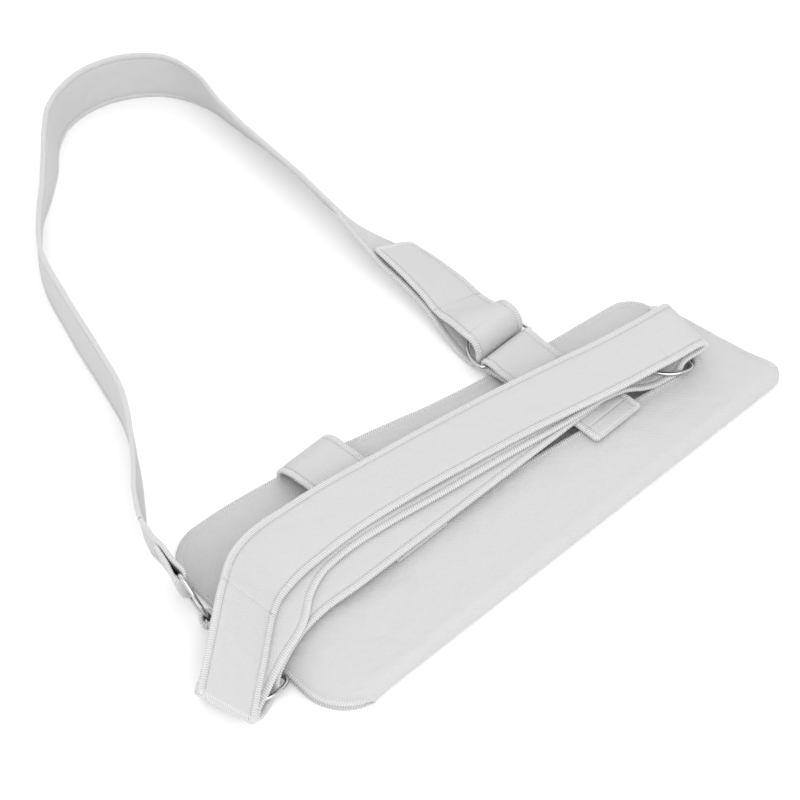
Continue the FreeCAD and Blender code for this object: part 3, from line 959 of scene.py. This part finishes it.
def strap(name, band, first, last, how, nodes, half=HALF, free_end=False, rows=()):
    """A strap's cloth and seams, fastened, standing for its design nodes."""
    cloth = strap_cloth(name, band, first, last, half, free_end, rows=rows)
    seams = edge_stitches(name, band, first, last, half, free_end, rows)
    fasten([cloth] + seams, how)
    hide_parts(*nodes)
    print(name, round(last - first), "mm,", len(cloth.data.polygons), "faces")
    return cloth


# %% [markdown]
# ## Waist strap
# The lower part belongs to the pouch, the top layer lifts about the hand ring and
# the free end peels from its own line, so the strap is cut into three pieces that
# meet where neither moves, and each bends between its two bodies.

# %% Waist strap
lower = Band(waist_lower_stations)
strap(
    "waist_strap_lower", lower, 0.0, lower.length, "pouch",
    ["waist_strap_under", "waist_strap_elbow_fold", "waist_strap_middle",
     "waist_strap_hand_fold"],
)
upper = Band(waist_upper_stations)
tail_start = upper.marks[9]
hinge = upper.marks[11]
strap(
    "waist_strap_upper", upper, 0.0, tail_start,
    ("pouch", "waist_top_body", tuple(upper.at(0, 0, 0)), tuple(upper.at(14, 0, 0))),
    ["waist_strap_top"],
)
strap(
    "waist_strap_free_end", upper, tail_start, upper.length,
    ("waist_top_body", "waist_tail_body",
     tuple(upper.at(hinge - 6, 0, 0)), tuple(upper.at(hinge + 6, 0, 0))),
    ["waist_strap_tail"], free_end=True, rows=[hinge + 1.5],
)


# %% [markdown]
# ## Shoulder strap
# Its elbow end is folded round the shoulder ring and sewn down. From there the
# cloth twists on to its edge. That first length bends between the ring's body
# and the pouch, the long loop bends between the pouch and the strap's own body,
# and the hook end peels from where it lies on the strap.

# %% Shoulder strap
lead = Band(shoulder_lead_stations)
strap(
    "shoulder_strap_lead", lead, 0.0, lead.marks[-2],
    ("elbow_ring_body", "pouch",
     tuple(lead.at(lead.marks[-3] - 6, 0, 0)), tuple(lead.at(lead.marks[-2] - 1, 0, 0))),
    ["shoulder_strap_end_loop"],
)
loop = Band(shoulder_stations)
strap(
    "shoulder_strap_loop", loop, 0.0, loop.length,
    ("pouch", "shoulder_strap_body", tuple(loop.at(4, 0, 0)), tuple(loop.at(70, 0, 0))),
    ["shoulder_strap_neck", "shoulder_strap", "shoulder_strap_ring_fold"],
)
tail = Band(shoulder_tail_stations)
peel = tail.marks[6] + 3
strap(
    "shoulder_strap_hook_end", tail, 0.0, tail.length,
    ("shoulder_strap_body", "shoulder_tail_body",
     tuple(tail.at(peel - 4, 0, 0)), tuple(tail.at(peel + 8, 0, 0))),
    ["shoulder_strap_arch", "shoulder_strap_tail"], free_end=True,
    rows=[peel + 6.0],
)

# %% [markdown]
# ## Bands and tabs
# Two short bands come over the pouch's back rim and stick to its front. The one
# near the hand also holds the adjuster ring in its folded end. Three small tabs
# hold the other rings.


# %% Bands and tabs
def crosswise(x, points):
    """Stations of a band that runs in the Y and Z directions at one X."""
    return [(Vector((x, y, z)), Vector((1, 0, 0))) for y, z in points]


closure = Band(
    crosswise(
        -101,
        [(206.9, 2.8), (209.1, 7.5), (206.8, 13), (200, 17.5), (186, 20),
         (165, 21.05), (140, 21.05), (110, 21.05), (80, 21.05)],
    )
)
strap("closure_band_cloth", closure, 0.0, closure.length, "pouch", ["closure_band"])
ring_band = Band(
    wrap(adjuster, 30)
    + crosswise(
        84,
        [(133, 14.7), (123, 18.5), (113, 20.9), (103, 21.05), (88, 21.05),
         (72, 21.05), (56, 21.05)],
    )
)
tip = ring_band.marks[-2]
strap(
    "ring_band_cloth", ring_band, 0.0, ring_band.length,
    ("pouch", "ring_band_tip_body",
     tuple(ring_band.at(tip - 3, 0, 0)), tuple(ring_band.at(tip + 3, 0, 0))),
    ["ring_band", "ring_band_loop", "ring_band_tip"], free_end=True,
    rows=[ring_band.marks[11] - 4.0, tip + 3],
)
apex = shoulder_ring.at(32, 0)
back_way = Vector((-0.643, 0.766, 0))
across_ring = shoulder_ring.width
tab_ring = Ring(apex, back_way - across_ring * back_way.dot(across_ring), across_ring)
TABS = (
    ("hand_ring_tab", wrap(hand_ring, 15), "waist_ring_hand_tab", 18),
    ("elbow_ring_tab_cloth", wrap(elbow_ring, 5.5), "waist_ring_elbow_tab", 13),
    ("shoulder_ring_tab", wrap(tab_ring, 9, EYE + 1.6), "elbow_ring_tab", 7.5),
)
for name, stations, node, half in TABS:
    tab = Band(stations)
    strap(name, tab, 0.0, tab.length, "pouch", [node], half=half)

# %% [markdown]
# ## Hook patches
# A hook patch is a strip of nylon tape sewn on the hidden side of each end that
# sticks. It is thin and square-edged, so a thinner slab in the hook finish does.


# %% Hook patches
PATCH_LIFT = -2.6
PATCH_THICK = 0.42


def hook_patch(name, band, span, half, body, node, lift=PATCH_LIFT):
    """A strip of hook tape over a span of a band, on its hidden side."""
    made = strap_cloth(
        name, band, *span, half, lift=lift, thick=PATCH_THICK, finish=HOOK_FINISH
    )
    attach(made, body)
    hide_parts(node)


hook_patch(
    "waist_hook_tape", upper, (hinge + 6, upper.length - 6), 20,
    "waist_tail_body", "waist_hook_patch",
)
hook_patch(
    "shoulder_hook_tape", tail, (peel + 12, tail.length - 7), 21,
    "shoulder_tail_body", "shoulder_hook_patch",
)
hook_patch(
    "ring_band_hook_tape", ring_band, (tip + 6, ring_band.length - 2), 20,
    "ring_band_tip_body", "ring_band_hook_patch", -PATCH_LIFT,
)
hook_patch(
    "closure_hook_tape", closure, (closure.length - 14, closure.length - 1), 20,
    "pouch", "closure_hook_patch",
)

# %% [markdown]
# ## The pouch
# The pouch is one panel folded along the arm: a deep back, a round fold and a low
# front. It is drawn as one sheet of quads that runs from the back rim, round the
# fold, to the front rim, and a Solidify modifier gives it the cloth's thickness.
# At the elbow the two layers are pressed together and seamed in a wide curve; at
# the hand end they stay open.

# %% The pouch's outline and section
BACK_LEVEL = 2.5
DEPTH = 13.3
ELBOW_ROUND = 40.0
HAND_ROUND = 16.0
FOLD_SLANT = 9.0
FOLD_SET = 5.0
FOLD_ROWS = 14
BACK_START = -236
BACK_LENGTH = 436
FRONT_START = -241
FRONT_LENGTH = 449
EDGE_CROWDING = 0.115


def rounding(distance, radius):
    """How far a rounded corner stands back from its square outline."""
    d = np.clip(radius - distance, 0, radius)
    return radius - np.sqrt(radius**2 - d**2)


def fold_line(x):
    """How far the fold runs in from the straight, towards the elbow."""
    return FOLD_SET + FOLD_SLANT * np.clip((205 - x) / 440, 0, 1)


def elbow_edge(y):
    return -247 + 11 * y / 224 + rounding(y - FOLD_SLANT - FOLD_SET, ELBOW_ROUND)


def hand_edge(y):
    return 221 - 20 * y / 150 - rounding(y - FOLD_SET, HAND_ROUND)


def back_rim(x):
    t = (x - BACK_START) / BACK_LENGTH
    bow = 5 * np.sin(math.pi * np.clip(t / 0.55, 0, 1)) - 5 * np.exp(-((t / 0.1) ** 2))
    line = 224 - 74 * t - 5 * np.exp(-(((t - 0.72) / 0.2) ** 2)) + bow
    return line - rounding(x - BACK_START, 34) - rounding(200 - x, 18)


def front_rim(x):
    line = 122 - 61 * (x - FRONT_START) / 384
    ear = np.clip((x - 166) / 36, 0, 1)
    return line + (132 - 57.5) * ear * ear * (3 - 2 * ear) - rounding(208 - x, 16)


def depth_at(x, y):
    """How far the front layer stands off the back layer."""
    d = np.clip((x - elbow_edge(y)) / 34, 0, 1)
    h = np.clip((hand_edge(y) - x) / 32, 0, 1)
    full = 4.2 + (DEPTH - 4.2) * np.sqrt(1 - (1 - d) ** 2)
    return full - 6.0 * (1 - h) ** 2 * np.clip(y / 40, 0, 1)


# %% The pouch's sheet
def pouch_rows():
    """Which layer each row is in and how far along it, from rim to rim."""
    back = [("back", p) for p in np.linspace(1, 0, 64)]
    bend = [("fold", p) for p in np.linspace(0, 1, FOLD_ROWS + 2)[1:-1]]
    front = [("front", p) for p in np.linspace(0, 1, 44)]
    return back + bend + front


def pouch_point(u, layer, p):
    """A point of the pouch's middle surface, u from the elbow to the hand."""
    across = BACK_START + BACK_LENGTH * u
    y = 40.0
    x = elbow_edge(y) * (1 - u) + hand_edge(y) * u
    for _ in range(4):
        gap = depth_at(x, y)
        start = 1.75 + gap / 2 + fold_line(x)
        if layer == "back":
            y = start + p * (back_rim(across) - start)
        elif layer == "front":
            y = start + p * (front_rim(FRONT_START + FRONT_LENGTH * u) - start)
        else:
            y = start - gap / 2 * np.sin(math.pi * p)
        x = elbow_edge(y) * (1 - u) + hand_edge(y) * u
    gap = depth_at(x, y)
    level = BACK_LEVEL + gap / 2
    if layer == "back":
        z = np.full_like(x, BACK_LEVEL)
    elif layer == "front":
        z = BACK_LEVEL + gap + 0.5 * np.sin(x / 47.0) * np.sin(math.pi * p)
    else:
        z = level - gap / 2 * np.cos(math.pi * p)
    return np.stack([x, y, z], -1)


rows = pouch_rows()
t = np.linspace(0, 1, 170)
columns = t - EDGE_CROWDING * np.sin(2 * math.pi * t)
grid = np.array([pouch_point(columns, layer, p) for layer, p in rows])
print("pouch sheet", grid.shape)
count = len(columns)
faces = [
    (r * count + c, r * count + c + 1, (r + 1) * count + c + 1, (r + 1) * count + c)
    for r in range(len(rows) - 1)
    for c in range(count - 1)
]
down = np.concatenate(
    [[np.zeros(count)], np.cumsum(np.linalg.norm(np.diff(grid, axis=0), axis=2), axis=0)]
)
flat_uv = np.stack([grid[..., 0], down], -1).reshape(-1, 2)
pouch = mesh_object(
    "pouch_cloth",
    grid.reshape(-1, 3) * MM + np.array(CORNER),
    faces,
    CLOTH_FINISH,
    flat_uv,
)
thicken = pouch.modifiers.new("thickness", "SOLIDIFY")
thicken.thickness = CLOTH * MM
thicken.offset = 0.0
thicken.use_even_offset = True
bpy.context.view_layer.update()
ready = pouch.evaluated_get(bpy.context.evaluated_depsgraph_get())
thick_mesh = bpy.data.meshes.new_from_object(ready)
pouch.modifiers.clear()
pouch.data = thick_mesh
face_out(pouch)
print("pouch faces", len(pouch.data.polygons))


# %% [markdown]
# The pouch's raw edge is overlocked all round: up the hand end of the back layer,
# along its rim, down the elbow side, and along the front layer's own rim. The
# seam's "out" is read off the sheet itself, as the direction from the row inside
# the edge to the edge.


# %% The pouch's seams
def sheet_strand(edge, inner):
    """An edge of the sheet with its outward directions, in the frame."""
    edge, inner = np.array(edge), np.array(inner)
    along = np.gradient(edge, axis=0)
    along /= np.linalg.norm(along, axis=1)[:, None]
    out = edge - inner
    out -= (out * along).sum(1)[:, None] * along
    out /= np.linalg.norm(out, axis=1)[:, None]
    return edge * MM + np.array(CORNER), out


def inset(strand, distance, height):
    """The same line moved inwards on the cloth and off its face."""
    points, out = strand
    along = np.gradient(points, axis=0)
    along /= np.linalg.norm(along, axis=1)[:, None]
    up = np.cross(along, out)
    return points - out * distance * MM + up * height * MM, out


back_rows = sum(1 for layer, _ in rows if layer == "back")
front_first = back_rows + FOLD_ROWS
hand_back = sheet_strand(grid[:back_rows, -1][::-1], grid[:back_rows, -3][::-1])
rim_back = sheet_strand(grid[0, ::-1], grid[2, ::-1])
elbow_back = sheet_strand(grid[:back_rows, 0], grid[:back_rows, 2])
hand_front = sheet_strand(grid[front_first:, -1], grid[front_first:, -3])
rim_front = sheet_strand(grid[-1, ::-1], grid[-3, ::-1])
elbow_front = sheet_strand(grid[front_first:, 0][::-1], grid[front_first:, 2][::-1])
edges = [hand_back, rim_back, elbow_back, hand_front, rim_front, elbow_front]
pouch_overlock = sew("pouch_overlock", edges, OVERLOCK_PITCH, rim_loop, THREAD_FINISH)
POUCH_NEEDLE_HEIGHT = 1.85
needle_rows = [
    inset(edge, NEEDLE_INSET, face * POUCH_NEEDLE_HEIGHT) for edge in edges for face in (1, -1)
]
pouch_needle = sew("pouch_needle_line", needle_rows, NEEDLE_PITCH, needle_stitch, THREAD_FINISH)
fasten([pouch, pouch_overlock, pouch_needle], "pouch")
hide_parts("back_panel", "front_panel", "pouch_fold", "elbow_gusset")
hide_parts("back_rim_overlock", "front_rim_overlock")
print("pouch stitches", len(pouch_overlock.data.polygons))

# %% [markdown]
# ## Metal rings
# The rings keep their designed shape, which is true bent wire, and only take the
# nickel finish. The little stitch shapes that the seam tree copied have done
# their work and are removed.

# %% Metal rings and clearing up
for node in ("adjuster_ring", "shoulder_ring_elbow", "waist_ring_hand", "waist_ring_elbow"):
    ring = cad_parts[node]
    ring.data.materials.clear()
    ring.data.materials.append(METAL_FINISH)
for helper in (overlock_loop, rim_loop, needle_stitch):
    bpy.data.objects.remove(helper)

# %% Floor and lights
bpy.ops.mesh.primitive_plane_add(size=12.0, location=(0, 0, 0))
floor = bpy.context.object
floor.name = "white_sweep"
paper, paper_tree, paper_shader = new_material("white_paper_sweep", "#FFFFFF")
paper_shader.inputs["Base Color"].default_value = linear("#FCFCFC")
paper_shader.inputs["Roughness"].default_value = 0.9
paper_shader.inputs["Specular IOR Level"].default_value = 0.1
floor.data.materials.append(paper)


def soft_light(name, spot, aim, size, power):
    """A square soft box that looks at a point."""
    data = bpy.data.lights.new(name, "AREA")
    data.size = size
    data.energy = power
    lamp = bpy.data.objects.new(name, data)
    lamp.location = spot
    way = Vector(aim) - Vector(spot)
    lamp.rotation_euler = way.to_track_quat("-Z", "Y").to_euler()
    bpy.context.scene.collection.objects.link(lamp)
    return lamp


middle = place(-10, 250, 0)
soft_light("key_softbox", middle + Vector((-0.8, -1.2, 1.6)), middle, 2.0, 25.0)
soft_light("fill_softbox", middle + Vector((1.0, 1.2, 1.8)), middle, 2.4, 12.0)
world = bpy.data.worlds.new("even_white")
world.use_nodes = True
world.node_tree.nodes["Background"].inputs["Color"].default_value = (1, 1, 1, 1)
world.node_tree.nodes["Background"].inputs["Strength"].default_value = 0.98
bpy.context.scene.world = world
bpy.context.scene.view_settings.view_transform = "Standard"
